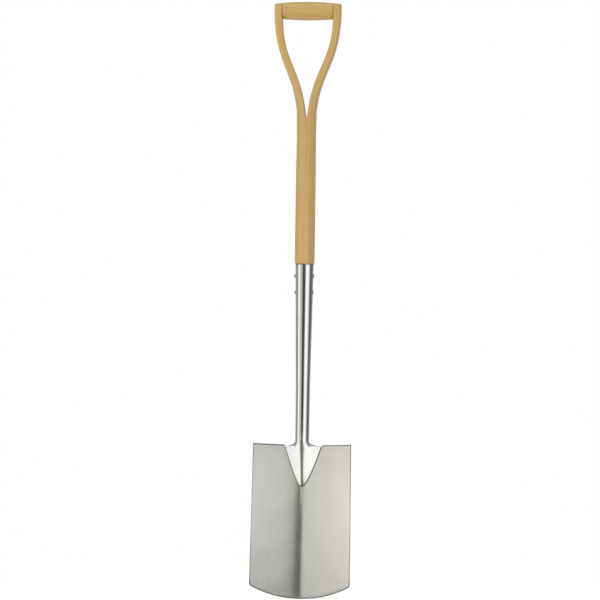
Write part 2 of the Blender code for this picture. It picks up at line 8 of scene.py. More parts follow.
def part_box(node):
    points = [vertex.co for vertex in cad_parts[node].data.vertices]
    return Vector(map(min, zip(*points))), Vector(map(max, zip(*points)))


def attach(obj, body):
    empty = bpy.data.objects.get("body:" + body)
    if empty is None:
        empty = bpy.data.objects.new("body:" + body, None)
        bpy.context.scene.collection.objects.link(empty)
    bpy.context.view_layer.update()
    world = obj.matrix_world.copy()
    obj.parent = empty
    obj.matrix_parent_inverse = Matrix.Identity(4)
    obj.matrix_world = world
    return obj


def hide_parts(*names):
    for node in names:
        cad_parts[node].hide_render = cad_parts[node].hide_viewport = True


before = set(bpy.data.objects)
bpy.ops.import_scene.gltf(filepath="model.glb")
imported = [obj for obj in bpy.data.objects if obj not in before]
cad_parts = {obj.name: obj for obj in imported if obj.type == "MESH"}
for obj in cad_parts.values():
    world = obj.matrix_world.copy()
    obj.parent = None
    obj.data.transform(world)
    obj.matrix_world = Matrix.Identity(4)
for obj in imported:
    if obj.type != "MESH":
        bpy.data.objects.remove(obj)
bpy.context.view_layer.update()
scene = bpy.context.scene
print("frame loaded:", ", ".join(sorted(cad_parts)))


# Small helpers for numbers

def mix(a, b, t):
    return a + (b - a) * t


def ease(t):
    t = min(max(t, 0.0), 1.0)
    return t * t * (3 - 2 * t)


def spread(start, end, count):
    return [mix(start, end, i / count) for i in range(count + 1)]


# Helpers for meshes. Every piece is modelled with the shaft's axis on the z axis,
# and is moved onto the CAD part's axis when it is finished.

gripHeight = 1.1090
shaftLow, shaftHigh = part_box("shaft")
gripLow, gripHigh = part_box("grip")
axisPlace = Vector((0.0, (shaftLow.y + shaftHigh.y) / 2, (gripLow.z + gripHigh.z) / 2 - gripHeight))


def loft(bm, rows, layer=None, marks=None):
    # a grid whose rows of vertices are moved to the given places
    across = len(rows[0]) - 1
    along = len(rows) - 1
    made = bmesh.ops.create_grid(bm, x_segments=across, y_segments=along, size=0.5)
    grid = {}
    for vert in made["verts"]:
        i = round((vert.co.x + 0.5) * across)
        j = round((vert.co.y + 0.5) * along)
        grid[j, i] = vert
    for (j, i), vert in grid.items():
        vert.co = rows[j][i]
        if marks:
            vert[layer] = marks[j][i]
    return grid


def closeUp(bm, distance=1e-6):
    bmesh.ops.remove_doubles(bm, verts=bm.verts, dist=distance)
    openEdges = [edge for edge in bm.edges if edge.is_boundary]
    if openEdges:
        bmesh.ops.holes_fill(bm, edges=openEdges, sides=0)
    bmesh.ops.recalc_face_normals(bm, faces=bm.faces)


def markRims(bm):
    # each vertex keeps its distance to the nearest open edge of the sheet
    layer = bm.verts.layers.float.new("fromRim")
    rim = [vert.co.copy() for vert in bm.verts if vert.is_boundary]
    tree = kdtree.KDTree(len(rim))
    for i, spot in enumerate(rim):
        tree.insert(spot, i)
    tree.balance()
    for vert in bm.verts:
        vert[layer] = tree.find(vert.co)[2]


def turnOnX(bm, profile, steps):
    # a profile of (along, radius) spun once round the x axis
    verts = [bm.verts.new((along, 0.0, radius)) for along, radius in profile]
    edges = [bm.edges.new(pair) for pair in zip(verts, verts[1:])]
    bmesh.ops.spin(bm, geom=verts + edges, cent=(0, 0, 0), axis=(1, 0, 0), angle=2 * pi,
                   steps=steps, use_merge=True, use_duplicate=False)
    closeUp(bm)


def finishPiece(name, bm, material, node, sharpAngle=40):
    bmesh.ops.translate(bm, verts=bm.verts, vec=axisPlace)
    mesh = bpy.data.meshes.new(name)
    bm.to_mesh(mesh)
    bm.free()
    mesh.shade_smooth()
    mesh.set_sharp_from_angle(angle=radians(sharpAngle))
    mesh.materials.append(material)
    piece = bpy.data.objects.new(name, mesh)
    scene.collection.objects.link(piece)
    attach(piece, "root")
    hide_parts(node)
    print(f"{name}: {len(mesh.polygons)} faces")
    return piece


def giveThickness(piece, thickness, rounding, group="", thinShare=0.0):
    wall = piece.modifiers.new("wall", "SOLIDIFY")
    wall.thickness = thickness
    wall.offset = -1
    wall.use_even_offset = True
    if group:
        wall.vertex_group = group
        wall.thickness_vertex_group = thinShare
    rims = piece.modifiers.new("rims", "BEVEL")
    rims.width = rounding
    rims.segments = 2
    rims.limit_method = "ANGLE"
    rims.angle_limit = radians(50)


# Helpers for materials

def addNode(tree, kind, **settings):
    node = tree.nodes.new("ShaderNode" + kind)
    for name, value in settings.items():
        setattr(node, name, value)
    return node


def feed(tree, target, source):
    # a socket is linked, and a number or colour is set
    if isinstance(source, bpy.types.NodeSocket):
        tree.links.new(source, target)
    else:
        target.default_value = source


def fill(tree, node, **sources):
    # inputs are set by name, with _ for a space
    for name, source in sources.items():
        feed(tree, node.inputs[name.replace("_", " ")], source)
    return node.outputs


def calculate(tree, operation, first, second=0.5, clamp=False):
    node = addNode(tree, "Math", operation=operation, use_clamp=clamp)
    feed(tree, node.inputs[0], first)
    feed(tree, node.inputs[1], second)
    return node.outputs[0]


def remap(tree, value, fromMin, fromMax, toMin=0.0, toMax=1.0, smooth=False):
    node = addNode(tree, "MapRange", interpolation_type="SMOOTHSTEP" if smooth else "LINEAR")
    return fill(tree, node, Value=value, From_Min=fromMin, From_Max=fromMax,
                To_Min=toMin, To_Max=toMax)["Result"]


def combine(tree, operation, first, second=None):
    # arithmetic on vectors
    node = addNode(tree, "VectorMath", operation=operation)
    feed(tree, node.inputs[0], first)
    if second is not None:
        feed(tree, node.inputs["Scale" if operation == "SCALE" else 1], second)
    return node.outputs["Value" if operation == "LENGTH" else "Vector"]


def blendColours(tree, share, first, second):
    node = addNode(tree, "Mix", data_type="RGBA")
    feed(tree, node.inputs["Factor"], share)
    feed(tree, node.inputs["A"], (*first, 1.0) if isinstance(first, tuple) else first)
    feed(tree, node.inputs["B"], (*second, 1.0) if isinstance(second, tuple) else second)
    return node.outputs["Result"]


def addNoise(tree, vector, scale, detail=2.0, roughness=0.5, distortion=0.0):
    return fill(tree, addNode(tree, "TexNoise"), Vector=vector, Scale=scale, Detail=detail,
                Roughness=roughness, Distortion=distortion)


def stretched(tree, vector, scales, detail=2.0, roughness=0.5):
    # noise on a vector that is scaled by its own number on each axis
    return addNoise(tree, combine(tree, "MULTIPLY", vector, scales), 1.0, detail, roughness)["Fac"]


def makeGroup(name, inputs, outputs):
    # inputs and outputs by name, with the kind of each
    tree = bpy.data.node_groups.new(name, "ShaderNodeTree")
    for side, sockets in (("INPUT", inputs), ("OUTPUT", outputs)):
        for label, kind in sockets.items():
            tree.interface.new_socket(label, in_out=side, socket_type="NodeSocket" + kind)
    return tree, tree.nodes.new("NodeGroupInput").outputs, tree.nodes.new("NodeGroupOutput")


def useGroup(tree, group, **sources):
    return fill(tree, addNode(tree, "Group", node_tree=group), **sources)


def startMaterial(name):
    material = bpy.data.materials.new(name)
    material.use_nodes = True
    tree = material.node_tree
    place = addNode(tree, "TexCoord").outputs["Object"]
    return material, tree, tree.nodes["Principled BSDF"], place


def addBump(tree, shader, height, strength, distance):
    bump = fill(tree, addNode(tree, "Bump"), Strength=strength, Distance=distance, Height=height)
    fill(tree, shader, Normal=bump["Normal"])


# Shared effects

def makeBrushGroup():
    # fine parallel lines left by a polishing belt, which run along the vector's z
    tree, given, result = makeGroup(
        "beltLines",
        {"Vector": "Vector", "Across": "Float", "Along": "Float"},
        {"Lines": "Float", "Streaks": "Float"})
    place, across, along = (given[name] for name in ("Vector", "Across", "Along"))
    scales = fill(tree, addNode(tree, "CombineXYZ"), X=across, Y=across, Z=along)[0]
    lines = stretched(tree, place, scales, detail=4.0, roughness=0.65)
    streaks = stretched(tree, place, combine(tree, "SCALE", scales, 0.22), detail=3.0)
    fill(tree, result, Lines=remap(tree, lines, 0.3, 0.7),
         Streaks=remap(tree, streaks, 0.32, 0.68, smooth=True))
    return tree


def makeHandlingGroup():
    # faint clouds from wiping, and a few hairline scratches
    tree, given, result = makeGroup(
        "handlingMarks",
        {"Vector": "Vector", "Cloud Scale": "Float"}, {"Clouds": "Float", "Scratches": "Float"})
    clouds = addNoise(tree, given["Vector"], given["Cloud Scale"], detail=4.0, distortion=0.6)["Fac"]
    scratchScale = 40.0
    scratches = 0.0
    for turn, thin in ((0.35, 26.0), (-0.5, 34.0), (1.2, 30.0)):
        turned = fill(tree, addNode(tree, "VectorRotate", rotation_type="Y_AXIS"),
                      Vector=given["Vector"], Angle=turn)
        hair = stretched(tree, turned[0], tuple(scratchScale * n for n in (thin, 1.0, 0.5)), detail=1.0)
        scratches = calculate(tree, "MAXIMUM", remap(tree, hair, 0.755, 0.80), scratches)
    fill(tree, result, Clouds=remap(tree, clouds, 0.35, 0.7, smooth=True), Scratches=scratches)
    return tree


ashLook = {
    "base": (0.580, 0.388, 0.137), "lateWood": (0.440, 0.278, 0.084), "earlyWood": (0.625, 0.436, 0.178),
    "pore": (0.25, 0.140, 0.042), "fibre": (0.40, 0.245, 0.075),
    "darkStreak": (0.43, 0.268, 0.082), "lightStreak": (0.66, 0.46, 0.195),
    "wander": 0.0050, "driftScale": (26.0, 26.0, 3.2), "pithScale": (1.0, 1.0, 0.012),
    "poreScale": (1500.0, 1500.0, 75.0), "fibreScale": (620.0, 620.0, 9.0), "streakScale": (95.0, 95.0, 2.4),
    "coat": 0.32, "coatRoughness": 0.28, "specular": 0.45, "bump": 0.30, "relief": 0.00012,
}


def makeAshGroup():
    # growth rings round a pith beside the piece, with the open pores of ash in each early band;
    # the fibres run along the vector's z
    tree, given, result = makeGroup(
        "ashGrain",
        {"Vector": "Vector", "Pith": "Vector", "Ring Width": "Float"},
        {"Color": "Color", "Pores": "Float", "Height": "Float", "Sheen": "Float"})
    place = given["Vector"]

    drift = addNoise(tree, combine(tree, "MULTIPLY", place, ashLook["driftScale"]), 1.0)
    centred = combine(tree, "SUBTRACT", drift["Color"], (0.5, 0.5, 0.5))
    bent = combine(tree, "ADD", place, combine(tree, "SCALE", centred, ashLook["wander"]))
    fromPith = combine(tree, "SUBTRACT", bent, given["Pith"])
    distance = combine(tree, "LENGTH", combine(tree, "MULTIPLY", fromPith, ashLook["pithScale"]))
    ring = calculate(tree, "FRACT", calculate(tree, "DIVIDE", distance, given["Ring Width"]))

    early = remap(tree, ring, 0.0, 0.34, 1.0, 0.0, smooth=True)
    late = remap(tree, ring, 0.45, 0.97, smooth=True)
    pores = stretched(tree, place, ashLook["poreScale"], detail=1.0)
    pores = remap(tree, pores, 0.53, 0.66, smooth=True)
    pores = calculate(tree, "MULTIPLY", pores, remap(tree, early, 0.15, 0.8, 0.06, 1.0))
    fibre = stretched(tree, place, ashLook["fibreScale"], detail=5.0, roughness=0.62)
    streak = stretched(tree, place, ashLook["streakScale"], detail=3.0)

    colour = ashLook["base"]
    for share, tint in (
        (remap(tree, late, 0.0, 1.0, 0.0, 0.62), "lateWood"),
        (calculate(tree, "MULTIPLY", early, 0.40), "earlyWood"),
        (calculate(tree, "MULTIPLY", pores, 0.55), "pore"),
        (remap(tree, fibre, 0.3, 0.7, 0.36, 0.0), "fibre"),
        (remap(tree, streak, 0.3, 0.7, 0.42, 0.0), "darkStreak"),
        (remap(tree, streak, 0.5, 0.75, 0.0, 0.40), "lightStreak"),
    ):
        colour = blendColours(tree, share, colour, ashLook[tint])
    relief = calculate(tree, "SUBTRACT", calculate(tree, "MULTIPLY", fibre, 0.35), pores)
    fill(tree, result, Color=colour, Pores=pores, Height=relief, Sheen=streak)
    return tree


beltLines = makeBrushGroup()
handlingMarks = makeHandlingGroup()
ashGrain = makeAshGroup()

steelLooks = {
    "blade": {
        "bright": (0.955, 0.962, 0.925), "dark": (0.785, 0.792, 0.757), "roughness": (0.15, 0.21),
        "across": 800.0, "along": 16.0, "lineShare": 0.45, "bump": 0.07,
        "cloudScale": 22.0, "scratchShare": 0.25, "rimShadeShare": 0.9,
    },
    "socket": {
        "bright": (0.86, 0.855, 0.84), "dark": (0.78, 0.775, 0.76), "roughness": (0.06, 0.11),
        "across": 1500.0, "along": 9.0, "lineShare": 0.5, "bump": 0.025,
        "cloudScale": 20.0, "scratchShare": 0.3, "rimShadeShare": 0.8,
    },
    "weld": {
        "bright": (0.50, 0.49, 0.46), "dark": (0.33, 0.32, 0.29), "roughness": (0.30, 0.5),
        "across": 700.0, "along": 300.0, "lineShare": 0.5, "bump": 0.25,
        "cloudScale": 150.0, "scratchShare": 0.5, "rimShadeShare": 0.0,
    },
    "rivet": {
        "bright": (0.50, 0.495, 0.48), "dark": (0.30, 0.295, 0.28), "roughness": (0.22, 0.38),
        "across": 600.0, "along": 600.0, "lineShare": 0.4, "bump": 0.12,
        "cloudScale": 200.0, "scratchShare": 0.5, "rimShadeShare": 0.0,
    },
}
groundLook = {
    "bright": (0.84, 0.84, 0.83), "roughness": (0.20, 0.34), "height": 0.0055, "fade": 0.0006,
    "lineScale": (90.0, 90.0, 2600.0),
}
# painted shade: a dark tint laid along the open rims of the sheet steel, where the cut edges turn away from
# the light
rimShadeLook = {"tint": (0.16, 0.155, 0.145), "roughness": 0.45, "width": 0.0014}
cloudShare = 0.4


def makeSteel(name, look, ground=False):
    material, tree, shader, place = startMaterial(name)
    belt = useGroup(tree, beltLines, Vector=place, Across=look["across"], Along=look["along"])
    marks = useGroup(tree, handlingMarks, Vector=place, Cloud_Scale=look["cloudScale"])
    uneven = calculate(tree, "ADD", calculate(tree, "MULTIPLY", belt["Lines"], look["lineShare"]),
                       calculate(tree, "MULTIPLY", belt["Streaks"], 1 - look["lineShare"]))
    patchy = calculate(tree, "ADD", calculate(tree, "MULTIPLY", uneven, 1 - cloudShare),
                       calculate(tree, "MULTIPLY", marks["Clouds"], cloudShare))
    colour = blendColours(tree, patchy, look["dark"], look["bright"])
    roughness = remap(tree, patchy, 0.0, 1.0, *look["roughness"])
    height = calculate(tree, "SUBTRACT", belt["Lines"],
                       calculate(tree, "MULTIPLY", marks["Scratches"], look["scratchShare"]))
    if ground:
        fromEdge = addNode(tree, "Attribute", attribute_name="fromEdge").outputs["Fac"]
        top, fade = groundLook["height"], groundLook["fade"]
        share = remap(tree, fromEdge, top - fade, top + fade, 1.0, 0.0)
        cross = stretched(tree, place, groundLook["lineScale"], detail=3.0)
        groundColour = blendColours(tree, cross, look["bright"], groundLook["bright"])
        groundRoughness = remap(tree, cross, 0.3, 0.7, *groundLook["roughness"])
        colour = blendColours(tree, share, colour, groundColour)
        roughness = remap(tree, share, 0.0, 1.0, roughness, groundRoughness)
        height = remap(tree, share, 0.0, 1.0, height, cross)
    # painted shade along each open rim: the steel is darkened, and made rougher, within the rim width
    if look["rimShadeShare"]:
        fromRim = addNode(tree, "Attribute", attribute_name="fromRim").outputs["Fac"]
        width = rimShadeLook["width"]
        rim = remap(tree, fromRim, width / 2, width, look["rimShadeShare"], 0.0, smooth=True)
        colour = blendColours(tree, rim, colour, rimShadeLook["tint"])
        roughness = remap(tree, rim, 0.0, 1.0, roughness, rimShadeLook["roughness"])
    fill(tree, shader, Base_Color=colour, Roughness=roughness, Metallic=1.0)
    addBump(tree, shader, height, look["bump"], 0.0001)
    return material


def makeAsh(name, pith, ringWidth, turn=(0.0, 0.0, 0.0), attribute=""):
    material, tree, shader, place = startMaterial(name)
    if attribute:
        place = addNode(tree, "Attribute", attribute_name=attribute).outputs["Vector"]
    turned = fill(tree, addNode(tree, "Mapping"), Vector=place, Rotation=turn)[0]
    grain = useGroup(tree, ashGrain, Vector=turned, Pith=pith, Ring_Width=ringWidth)
    rough = calculate(tree, "ADD", remap(tree, grain["Sheen"], 0.3, 0.7, 0.36, 0.46),
                      calculate(tree, "MULTIPLY", grain["Pores"], 0.15))
    fill(tree, shader, Base_Color=grain["Color"], Roughness=rough, Coat_Weight=ashLook["coat"],
         Coat_Roughness=ashLook["coatRoughness"], Specular_IOR_Level=ashLook["specular"])
    addBump(tree, shader, grain["Height"], ashLook["bump"], ashLook["relief"])
    return material


bladeSteel = makeSteel("bladeSteel", steelLooks["blade"], ground=True)
socketSteel = makeSteel("socketSteel", steelLooks["socket"])
weldSteel = makeSteel("weldSteel", steelLooks["weld"])
rivetSteel = makeSteel("rivetSteel", steelLooks["rivet"])
shaftAsh = makeAsh("shaftAsh", (-0.062, 0.048, 0.0), 0.0044, attribute="grainPlace")
gripAsh = makeAsh("gripAsh", (0.060, 0.052, 0.0), 0.0050, turn=(0.0, radians(-90), 0.0))
print("materials made")


# Blade: a dished sheet with a crease, a notch for the socket and two treads bent back

bladeSizes = {
    "thickness": 0.0020, "edgeThickness": 0.0010, "widthTop": 0.1850, "widthEdge": 0.18991,
    "edgeArc": 0.194, "cornerRadius": 0.0030, "bevelHeight": 0.0060,
    "dishAtCrease": 6.0, "dishAtSide": 9.0, "blendLeft": 0.0150, "blendRight": 0.0026,
    "blendAtTip": 0.0100, "tipFade": 0.070,
    "treadHeight": 0.2882, "treadRise": 2.3, "treadDepth": 0.0090, "bendRadius": 0.0025,
    "treadCorner": 0.0013, "rimRounding": 0.0004, "creaseSetback": 0.00961,
    "wave": 0.00009, "waveScale": 20.0, "waveInset": 0.020, "edgeLevel": 0.0300,
    "rimLeft": 9.0, "rimRight": 3.0, "rimEdge": 0.6, "rimEdgeReach": 0.0120,
}
notchSizes = {
    "cornerLeft": 0.0332, "cornerRight": 0.0368, "depth": 0.0744, "tipLeft": 0.0034, "tipRight": 0.0026,
    "fullLeft": 0.76, "fullRight": 0.71, "belowTip": 0.0040, "steps": 40,
}
socketSizes = {
    "wall": 0.0015, "top": 0.6310, "mouth": 0.0346, "neck": 0.0270, "throat": 0.0258,
    "neckHeight": 0.4000, "neckLean": 3.0, "edgeLean": 8.0, "windowHeight": 0.0330,
    "flareHeight": 0.0102, "ridgeFullness": 0.9, "ridgeAtTip": 0.0040, "ridgeAtNeck": 0.0130,
    "throatFade": 0.0130, "windowEdge": 86.0, "windowEase": 1.6, "leastFlare": 0.25,
    "mouthRings": (0.0, 0.0006, 0.0020, 0.0060), "rimRounding": 0.0003,
    "rimTube": 0.6, "rimLeft": 4.0, "rimRight": 1.3,
}
weldSizes = {
    "gap": 0.0014, "recessLeft": 0.0001, "recessRight": 0.0005, "tipFade": 0.0120, "rootChamfer": 0.0002,
    "capWidth": 0.0046, "capHeight": 0.0010, "wanderScale": 160.0, "widthWander": 0.05,
    "ripplePitch": 0.0021, "rippleShare": 0.16, "rippleBow": 0.0012, "rippleWander": 0.0004,
}
fitGap = 0.00005  # between pieces that touch
notchTop = bladeSizes["treadHeight"] - bladeSizes["bendRadius"] - bladeSizes["treadCorner"]
notchTip = notchTop - notchSizes["depth"]


def lean(z):
    # how far the blade and the neck stand forward of the shaft's axis
    tread = bladeSizes["treadHeight"]
    neckLength = socketSizes["neckHeight"] - tread
    bent = min(max(socketSizes["neckHeight"] - z, 0.0), neckLength)
    below = max(tread - z, 0.0)
    slope = tan(radians(socketSizes["neckLean"]))
    more = tan(radians(socketSizes["edgeLean"])) - slope
    return slope * bent**2 / (2 * neckLength) + slope * below + more * below**2 / (2 * tread)


def dish(x, z):
    # the crease is tighter where it starts at the tip of the notch
    blend = bladeSizes["blendLeft"] if x < 0 else bladeSizes["blendRight"]
    tight = ease((z - notchTip) / bladeSizes["tipFade"] + 1)
    drawn = min(blend, mix(blend, bladeSizes["blendAtTip"], tight))
    fromCrease = sqrt(x * x + drawn * drawn) - blend
    nearSlope = tan(radians(bladeSizes["dishAtCrease"]))
    more = tan(radians(bladeSizes["dishAtSide"])) - nearSlope
    return nearSlope * fromCrease + more * x * x / bladeSizes["widthEdge"]


def bladeFront(x, z):
    return bladeSizes["creaseSetback"] - lean(z) - dish(x, z)


def halfWidth(z):
    return mix(bladeSizes["widthEdge"], bladeSizes["widthTop"], z / bladeSizes["treadHeight"]) / 2


def edgeHeight(x):
    arc = bladeSizes["edgeArc"] - sqrt(bladeSizes["edgeArc"]**2 - x * x)
    corner = bladeSizes["cornerRadius"]
    over = min(abs(x) - (halfWidth(arc) - corner), corner)
    return arc if over <= 0 else arc + corner - sqrt(corner**2 - over**2)


def treadTop(x):
    corner = bladeSizes["treadCorner"]
    along = max(abs(x) - notchSizes["cornerLeft" if x < 0 else "cornerRight"], 0.0)
    missing = max(corner - along, 0.0)
    rise = along * tan(radians(bladeSizes["treadRise"]))
    return bladeSizes["treadHeight"] + rise - corner + sqrt(corner**2 - missing**2)


def notchSide(side, top):
    tip, corner, full = (notchSizes[part + side] for part in ("tip", "corner", "full"))
    reach = ((top - notchTip) / notchSizes["depth"]) ** full
    return [Vector((mix(tip, corner, share), notchTip + notchSizes["depth"] * share ** (1 / full)))
            for share in spread(0.0, reach, notchSizes["steps"])]


def notchPath(top):
    left = [Vector((-p.x, p.y)) for p in reversed(notchSide("Left", top))]
    return left + [Vector((0.0, notchTip))] + notchSide("Right", top)


def insetPath(path, distance):
    moved = []
    for i, point in enumerate(path):
        before = (point - path[i - 1]).normalized() if i > 0 else None
        after = (path[i + 1] - point).normalized() if i < len(path) - 1 else None
        before = before or after
        after = after or before
        normal = Vector((-before.y - after.y, before.x + after.x)).normalized()
        share = max(normal.dot(Vector((-after.y, after.x))), 0.3)
        moved.append(point + normal * distance / share)
    return moved


def widthAt(path, z, side):
    middle = notchSizes["steps"] + 1
    half = path[:middle] if side < 0 else path[:middle:-1]
    for a, b in zip(half, half[1:]):
        if b.y <= z or b is half[-1]:
            t = (a.y - z) / max(a.y - b.y, 1e-9)
            return abs(mix(a.x, b.x, min(t, 1.0)))
    return abs(half[-1].x)


def sheetWave(x, z, above):
    # pressed sheet is never quite flat; the wave dies out towards the sides, the notch and the edge
    inset = bladeSizes["waveInset"]
    below = ease(above / inset) * ease((notchTip - notchSizes["belowTip"] - z) / inset)
    beside = ease((abs(x) - notchSizes["cornerRight"]) / inset) * ease((notchTop - z) / inset)
    calm = ease((halfWidth(z) - abs(x)) / inset) * max(below, beside)
    return bladeSizes["wave"] * calm * noise.noise(Vector((x, 0.31, z)) * bladeSizes["waveScale"])


def makeBlade():
    outerEnd = halfWidth(bladeSizes["treadHeight"])
    corner = bladeSizes["cornerRadius"] * outerEnd / halfWidth(0.0)

    def beside(notchCorner):
        xs = [notchCorner + bladeSizes["treadCorner"] * share for share in (0.25, 0.6, 1.0)]
        xs += spread(xs[-1], outerEnd - corner, 44)[1:]
        return xs + [outerEnd - corner * share for share in (0.8, 0.6, 0.42, 0.26, 0.12, 0.0)]

    radius = bladeSizes["bendRadius"]
    left = [(-x, treadTop(-x) - radius) for x in reversed(beside(notchSizes["cornerLeft"]))]
    right = [(x, treadTop(x) - radius) for x in beside(notchSizes["cornerRight"])]
    notch = [(p.x, p.y) for p in notchPath(notchTop)]
    columns = left + notch + right

    climb = spread(0.0, 1.0, 110)
    bend = spread(0.0, pi / 2, 8)[1:]
    run = spread(radius, bladeSizes["treadDepth"], 6)[1:]
    placesByColumn = []
    marksByColumn = []
    for topX, topZ in columns:
        share = topX / halfWidth(topZ)
        low = edgeHeight(share * halfWidth(bladeSizes["edgeLevel"]))
        ground = low + bladeSizes["bevelHeight"]
        heights = spread(low, ground, 3)[:-1] + [mix(ground, topZ, t) for t in climb]
        column = []
        for z in heights:
            x = share * halfWidth(z)
            column.append(Vector((x, bladeFront(x, z) + sheetWave(x, z, z - low), z)))
        start = column[-1]
        column += [start + Vector((0.0, radius * (1 - cos(a)), radius * sin(a))) for a in bend]
        column += [start + Vector((0.0, y, radius)) for y in run]
        placesByColumn.append(column)
        marksByColumn.append([point.z - low for point in column])
    rows = list(zip(*placesByColumn))

    bm = bmesh.new()
    layer = bm.verts.layers.float.new("fromEdge")
    weights = bm.verts.layers.deform.verify()
    grid = loft(bm, rows, layer, list(zip(*marksByColumn)))
    for (j, i), vert in grid.items():
        vert[weights][0] = 0.0 if j == 0 else 1.0

    # the notch has no treads over it
    flatRows = len(heights) - 1
    first, last = len(left), len(left) + len(notch) - 1
    treads = {grid[j, i] for j in range(flatRows + 1, len(rows)) for i in range(first + 1, last)}
    bmesh.ops.delete(bm, geom=list(treads), context="VERTS")
    markRims(bm)
    rimLayer = bm.verts.layers.float["fromRim"]
    # the painted shade along the rims is drawn thinner along the notch and wider along the edge
    notchLow = notchTip - notchSizes["belowTip"]
    for vert in bm.verts:
        if abs(vert.co.x) < notchSizes["cornerRight"] and notchLow < vert.co.z < notchTop:
            vert[rimLayer] *= bladeSizes["rimLeft" if vert.co.x < 0 else "rimRight"]
        elif vert[layer] < bladeSizes["rimEdgeReach"]:
            vert[rimLayer] *= bladeSizes["rimEdge"]
    bm.normal_update()
    if sum(face.normal.y for face in bm.faces) > 0:
        bmesh.ops.reverse_faces(bm, faces=bm.faces)
    blade = finishPiece("dishedBlade", bm, bladeSteel, "blade", sharpAngle=60)
    blade.vertex_groups.new(name="fullThickness")
    giveThickness(blade, bladeSizes["thickness"], bladeSizes["rimRounding"], "fullThickness",
                  bladeSizes["edgeThickness"] / bladeSizes["thickness"])
    return blade


# Socket: a tapered tube whose lower end is opened at the back and spread into the notch

def socketRadius(z):
    if z > socketSizes["neckHeight"]:
        t = (z - socketSizes["neckHeight"]) / (socketSizes["top"] - socketSizes["neckHeight"])
        return mix(socketSizes["neck"], socketSizes["mouth"], t) / 2
    t = (socketSizes["neckHeight"] - z) / (socketSizes["neckHeight"] - bladeSizes["treadHeight"])
    return mix(socketSizes["neck"], socketSizes["throat"], min(t, 1.0)) / 2


def plateFront(x, z, path, flareTop):
    # the opened end is a roof whose ridge runs from the front of the tube down to the crease
    side = -1 if x < 0 else 1
    plateTop = path[0].y
    plateTip = path[notchSizes["steps"] + 1].y
    edge = widthAt(path, min(z, plateTop), side)
    radius = socketRadius(z)
    climb = max((z - plateTip) / (flareTop - plateTip), 0.0) ** socketSizes["ridgeFullness"]
    ridge = mix(bladeFront(0.0, z), -lean(z) - radius, climb)
    rounding = min(mix(socketSizes["ridgeAtTip"], socketSizes["ridgeAtNeck"], climb**3), edge * 0.8)
    run = (sqrt(x * x + rounding**2) - rounding) / (sqrt(edge**2 + rounding**2) - rounding)
    roof = mix(ridge, bladeFront(side * edge, z), run)
    tube = -lean(z) - sqrt(max(radius**2 - x * x, 0.0))
    beside = ease((abs(x) - radius) / (widthAt(path, plateTop, side) - radius))
    return mix(roof, tube, ease(1 - (flareTop - z) / socketSizes["throatFade"]) * (1 - beside))


def makeSocket():
    path = insetPath(notchPath(notchTop + bladeSizes["treadCorner"]), weldSizes["gap"])
    plateTop = path[0].y
    plateTip = path[notchSizes["steps"] + 1].y
    flareTop = plateTop + socketSizes["flareHeight"]
    windowTop = flareTop + socketSizes["windowHeight"]
    front = spread(0.0, pi / 2, 30)
    backSteps = 24

    def tubeRow(z, lip):
        radius = socketRadius(z)
        angles = front + spread(pi / 2, lip, backSteps)[1:]
        return [(radius * sin(a), -lean(z) - radius * cos(a), z) for a in angles]

    def plateRow(z, side):
        widest = widthAt(path, plateTop, side)
        edge = widthAt(path, min(z, plateTop), side)
        inner = socketRadius(z) * edge / widest
        if z > plateTop:
            flare = max((flareTop - z) / socketSizes["flareHeight"], socketSizes["leastFlare"])
            edge = mix(inner, edge, flare**3)
        xs = [inner * sin(a) for a in front]
        xs += [mix(inner, edge, sin(t * pi / 2)) for t in spread(0.0, 1.0, backSteps)[1:]]
        return [(x, plateFront(side * x, z, path, flareTop), z) for x in xs]

    heights = [socketSizes["top"] - drop for drop in socketSizes["mouthRings"]]
    heights += spread(heights[-1], socketSizes["neckHeight"], 24)[1:]
    pairs = [(tubeRow(z, pi),) * 2 for z in heights]
    pairs += [(tubeRow(z, pi),) * 2 for z in spread(socketSizes["neckHeight"], windowTop, 16)[1:]]
    for share in spread(0.0, 1.0, 22)[1:]:
        share = share ** socketSizes["windowEase"]
        lip = pi - sqrt(1 - (1 - share) ** 2) * radians(socketSizes["windowEdge"])
        pairs.append((tubeRow(windowTop - share * socketSizes["windowHeight"], lip),) * 2)
    levels = [mix(flareTop, plateTop, t) for t in spread(socketSizes["leastFlare"], 1.0, 18)]
    levels += spread(plateTop, plateTip, 60)[1:]
    pairs += [(plateRow(z, -1), plateRow(z, 1)) for z in levels]
    rows = [[(-x, y, z) for x, y, z in reversed(left)] + list(right[1:]) for left, right in pairs]

    bm = bmesh.new()
    loft(bm, rows)
    bmesh.ops.remove_doubles(bm, verts=bm.verts, dist=1e-6)
    markRims(bm)
    rimLayer = bm.verts.layers.float["fromRim"]
    # the painted shade along the rims is drawn thinner beside the welds and wider on the tube
    for vert in bm.verts:
        side = "rimLeft" if vert.co.x < 0 else "rimRight"
        vert[rimLayer] *= socketSizes["rimTube" if vert.co.z > plateTop else side]
    bmesh.ops.recalc_face_normals(bm, faces=bm.faces)
    if sum(face.normal.y for face in bm.faces if face.calc_center_median().z < plateTop) > 0:
        bmesh.ops.reverse_faces(bm, faces=bm.faces)
    socket = finishPiece("rolledSocket", bm, socketSteel, "socket", sharpAngle=60)
    giveThickness(socket, socketSizes["wall"], socketSizes["rimRounding"])
    return socket


# Weld: a root in the joint and a rippled cap behind the blade, one run on each side

